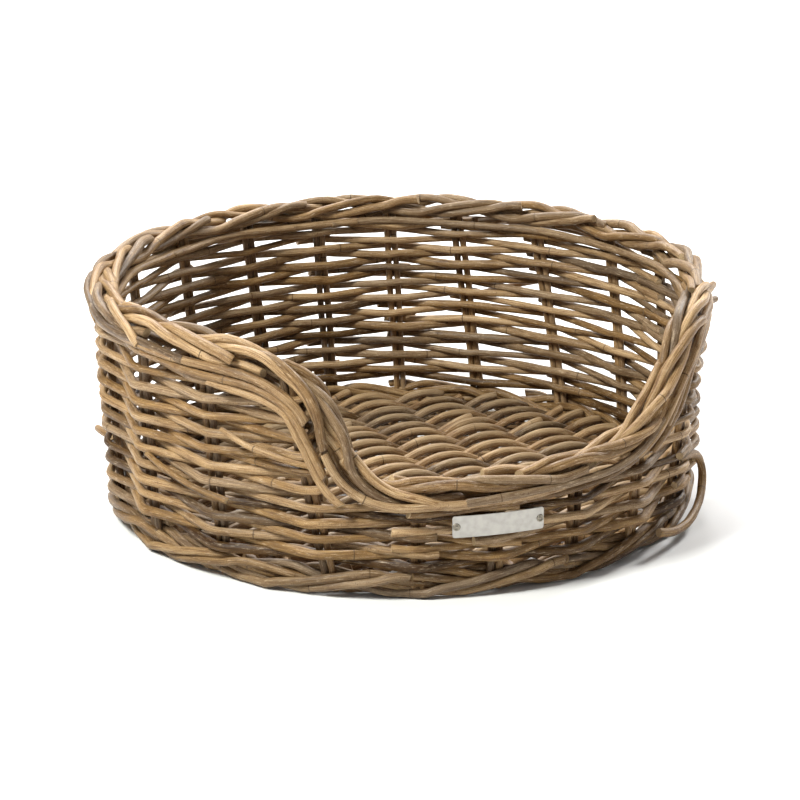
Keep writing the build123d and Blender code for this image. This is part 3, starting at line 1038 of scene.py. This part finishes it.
for number, (start, end, thickness) in enumerate(rim_side_rods):
    distance = np.linspace(along_rim(start[0]), along_rim(end[0]), side_rod_steps)
    share = np.linspace(0, 1, side_rod_steps)
    level = start[1] + (end[1] - start[1]) * share + 0.0012 * np.sin(9 * share + number)
    out = start[2] + (end[2] - start[2]) * share + 0.0008 * np.sin(14 * share + 2 * number)
    line = beside_rim(distance, level, out)
    tone = random_tone(0.5, 0.22)
    rod(rim_bundles[number % 3], line, thickness, "radial", tone, slants=luck.uniform(0.1, 0.8, 2))
rim_nodes = (
    ["rim_rod_outer_lower", "rim_rod_outer_upper"],
    ["rim_rod_inner_lower", "rim_rod_inner_upper"],
    ["rim_rod_crown"],
)
for letter, bundle, nodes in zip("abc", rim_bundles, rim_nodes):
    bundle.make(f"rim_strand_{letter}", rim_rattan, "rim_rod", nodes)


# ------------ foot braid
foot_rod_diameter = 0.0086
foot_lowest = foot_rod_diameter * 0.57
foot_stroke_count = 12
foot_middle = 0.0132
foot_half_width = 0.0075
foot_half_height = 0.0078
foot_pair_offset = 0.0042
foot_turn_step = 0.07
foot_tuck = 0.0035
foot_period = 360.0 * 3 / foot_stroke_count


def foot_rod_line(stroke, pair, start, end):
    """Line of a foot rod between two turns of its strand, given in radians."""
    turns = np.linspace(start, end, int((end - start) / foot_turn_step))
    width = foot_half_width * luck.uniform(0.92, 1.1)
    across, up = braid_section(turns, width, -foot_half_height, pair * foot_pair_offset)
    line = []
    for turn, out, rise in zip(turns, across, up):
        z = foot_middle + rise
        angle = stroke * foot_period / 3 + math.degrees(turn) / 360.0 * foot_period
        tuck = foot_tuck * max(0.0, 1 - z / foot_middle)
        line.append(place(wall_radius(z) + out - tuck, angle, max(z, foot_lowest)))
    return line


foot_bundles = [Bundle() for strand in range(3)]
for stroke in range(foot_stroke_count):
    for pair in (-1, 1):
        start = math.pi * luck.uniform(0.75, 1.0)
        end = math.pi * luck.uniform(2.75, 3.1)
        line = foot_rod_line(stroke, pair, start, end)
        tone = random_tone(0.5, 0.2)
        diameter = foot_rod_diameter * luck.uniform(0.9, 1.05)
        slants = luck.uniform(0.1, 0.8, 2)
        rod(foot_bundles[stroke % 3], line, diameter, "radial", tone, slants=slants)
for number, bundle in enumerate(foot_bundles):
    nodes = [f"foot_rod_outer_{number + 1}", f"foot_rod_inner_{number + 1}"]
    bundle.make(f"foot_strand_{'abc'[number]}", foot_rattan, "foot_rod", nodes)


# ------------ floor
floor_height = middle_of("base_sticks").z
floor_radius = max(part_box("floor_rods")[1][:2])
floor_rod_diameter = 0.0096
floor_depth = 0.0088
floor_step = 0.004
floor_edge = 0.0045
join_edge_gap = 0.05
join_overlap = 0.028
join_tail = 0.008
join_shift, join_shift_length = 0.0092, 0.05
join_rise, join_rise_length = 0.0035, 0.014
# Painted highlight on the crests of the floor rods: the height above the floor's middle where it
# starts, the height over which it grows, and its largest share
highlight_height, highlight_range, most_highlight = 0.008, 0.006, 0.45
floor_joins = luck.choice(np.arange(3, floor_rod_count - 3), 14, replace=False)


def floor_line(y, sign, start, end, reach, bend):
    """Line of a floor rod over and under the sticks, from one end or join to the next."""
    slip, bow, swing = bend
    line = []
    first = start - (join_overlap if start > -reach else 0.0)
    for x in np.arange(first, end + join_tail, floor_step):
        crest = math.cos(math.pi * (x + slip) / floor_stick_spacing)
        z = floor_height + sign * swing * floor_depth * crest * (1.12 - 0.12 * crest * crest)
        aside = bow * math.sin(3 * x / reach)
        if start > -reach:
            aside -= join_shift * math.exp(-(((x - start + join_overlap) / join_shift_length) ** 2))
        if end < reach:
            z += join_rise * math.exp(-(((x - end - join_tail) / join_rise_length) ** 2))
        if abs(x) < reach:
            line.append((x, y + aside, z))
    return line


bundle = Bundle()
for number in range(floor_rod_count):
    y = (number - (floor_rod_count - 1) / 2) * floor_rod_pitch
    sign = 1 if number % 2 else -1
    reach = math.sqrt(floor_radius**2 - (abs(y) + floor_edge) ** 2)
    bend = (luck.uniform(-0.004, 0.004), luck.uniform(-0.0014, 0.0014), luck.uniform(0.9, 1.06))
    breaks = [-reach, reach]
    if number in floor_joins:
        crests = [floor_stick_spacing * k for k in range(-3, 4) if (-1) ** k == sign]
        breaks.insert(1, luck.choice([x for x in crests if abs(x) < reach - join_edge_gap]))
    for start, end in zip(breaks[:-1], breaks[1:]):
        line = floor_line(y, sign, start, end, reach, bend)
        tone = random_tone(0.5, 0.2)
        rod(bundle, line, floor_rod_diameter * luck.uniform(0.88, 1.06), "up", tone)
        # Painted highlight: the crests, the tops of the floor rods, are painted pale with some of the
        # colour of a cut end
        crest = bundle.points[-1][:, 2] - floor_height - highlight_height
        painted_highlight = np.clip(crest / highlight_range, 0, most_highlight)
        bundle.finish[-1][:, 2] = np.maximum(bundle.finish[-1][:, 2], painted_highlight)
bundle.make("floor_weave", floor_rattan, "floor_rod", ["floor_rods"])

bundle = Bundle()
stick_diameter = 0.0078
stick_steps = 60
stick_end_gap = 0.002
stick_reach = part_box("base_sticks")[1].y
for number in range(floor_stick_count):
    x = floor_stick_spacing * (number - (floor_stick_count - 1) / 2)
    reach = math.sqrt(max(stick_reach**2 - x * x, 0.001)) - stick_end_gap
    places = np.linspace(-reach, reach, stick_steps)
    line = [(x + 0.001 * math.sin(5 * y / reach + number), y, floor_height) for y in places]
    rod(bundle, line, stick_diameter, "up", luck.uniform(0.2, 0.7))
bundle.make("floor_sticks", floor_rattan, "floor_rod", ["base_sticks"])


# ------------ stage, light and camera
stage_half = 6.0
stage_drop = 0.0005
stage_mesh = bpy.data.meshes.new("stage_floor")
stage_corners = [(x * stage_half, y * stage_half, 0) for x, y in ((-1, -1), (1, -1), (1, 1), (-1, 1))]
stage_mesh.from_pydata(stage_corners, [], [(0, 1, 2, 3)])
stage = put_in_scene("stage_floor", stage_mesh)
stage.location.z = -stage_drop
stage_material = bpy.data.materials.new("stage_paper")
stage_material.use_nodes = True
stage_surface = stage_material.node_tree.nodes["Principled BSDF"]
stage_surface.inputs["Base Color"].default_value = (0.76, 0.76, 0.76, 1)
stage_surface.inputs["Roughness"].default_value = 0.85
stage_mesh.materials.append(stage_material)
stage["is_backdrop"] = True

world = bpy.data.worlds.new("studio")
bpy.context.scene.world = world
world.use_nodes = True
background = world.node_tree.nodes["Background"]
background.inputs["Color"].default_value = (1.0, 1.0, 1.0, 1)
background.inputs["Strength"].default_value = 0.32
bpy.context.scene.view_settings.view_transform = "Standard"


def area_light(name, location, size, power, colour=(1, 1, 1), aim_at=(0, 0, 0.1)):
    """Square soft light, which faces the basket unless another place is given."""
    data = bpy.data.lights.new(name, "AREA")
    data.size = size
    data.energy = power
    data.color = colour
    light = put_in_scene(name, data)
    light.location = location
    aim = Vector(aim_at) - Vector(location)
    light.rotation_euler = aim.to_track_quat("-Z", "Y").to_euler()


area_light("key", (-1.9, -0.6, 2.4), 0.8, 136.0, (0.985, 1.0, 0.945))
area_light("side", (2.3, 0.9, 1.7), 0.7, 84.0, (1.0, 0.995, 0.97))
area_light("backdrop", (0.6, 3.2, 3.6), 3.0, 345.0)
# Lights that face away from the basket keep the far floor pale on the sides that the backdrop
# light doesn't reach
for number in range(5):
    turn = math.radians(60 * number - 210)
    x, y = math.cos(turn), math.sin(turn)
    aim_at = (5.5 * x, 5.5 * y, 0.0)
    area_light(f"far_floor_{number + 1}", (3.0 * x, 3.0 * y, 2.5), 2.0, 260.0, aim_at=aim_at)

view_azimuth, view_elevation, view_distance = -23.5, 18.18, 3.0
target = Vector((0.0001, 0.0, 0.0993))
a, e = math.radians(view_azimuth), math.radians(view_elevation)
back = Vector((math.sin(a) * math.cos(e), -math.cos(a) * math.cos(e), math.sin(e)))
camera_data = bpy.data.cameras.new("camera")
camera_data.sensor_width = 36.0
camera_data.lens = 132.75
camera = put_in_scene("camera", camera_data)
camera.location = target + back * view_distance
camera.rotation_euler = (-back).to_track_quat("-Z", "Y").to_euler()
bpy.context.scene.camera = camera

low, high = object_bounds()
